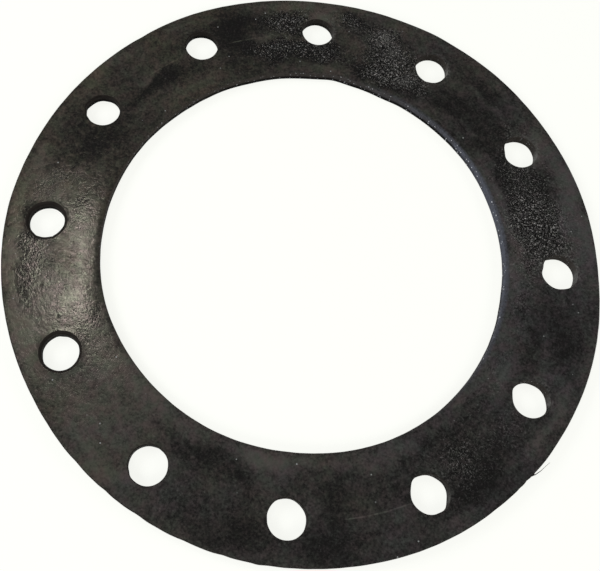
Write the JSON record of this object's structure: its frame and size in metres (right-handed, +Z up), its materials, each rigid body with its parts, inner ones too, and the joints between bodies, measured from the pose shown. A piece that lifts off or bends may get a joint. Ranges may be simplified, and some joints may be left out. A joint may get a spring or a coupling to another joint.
{
  "type": "flange gasket",
  "caption": "Flat ring gasket cut from black sheet rubber, with a wide central bore and a circle of bolt holes, to seal the faces of two bolted pipe flanges.",
  "frame": {"origin": "centre of the lower face, on the axis of the bore", "axes": "+Z up along the axis of the bore, out of the upper face; the X and Y axes pass midway between bolt holes"},
  "size_m": [0.34, 0.34, 0.007],
  "materials": {
    "rubber": "matte black sheet rubber with a fine pebbled grain and a thin dusty bloom"
  },
  "bodies": {
    "root": {"gasket": "rubber"}
  },
  "joints": []
}
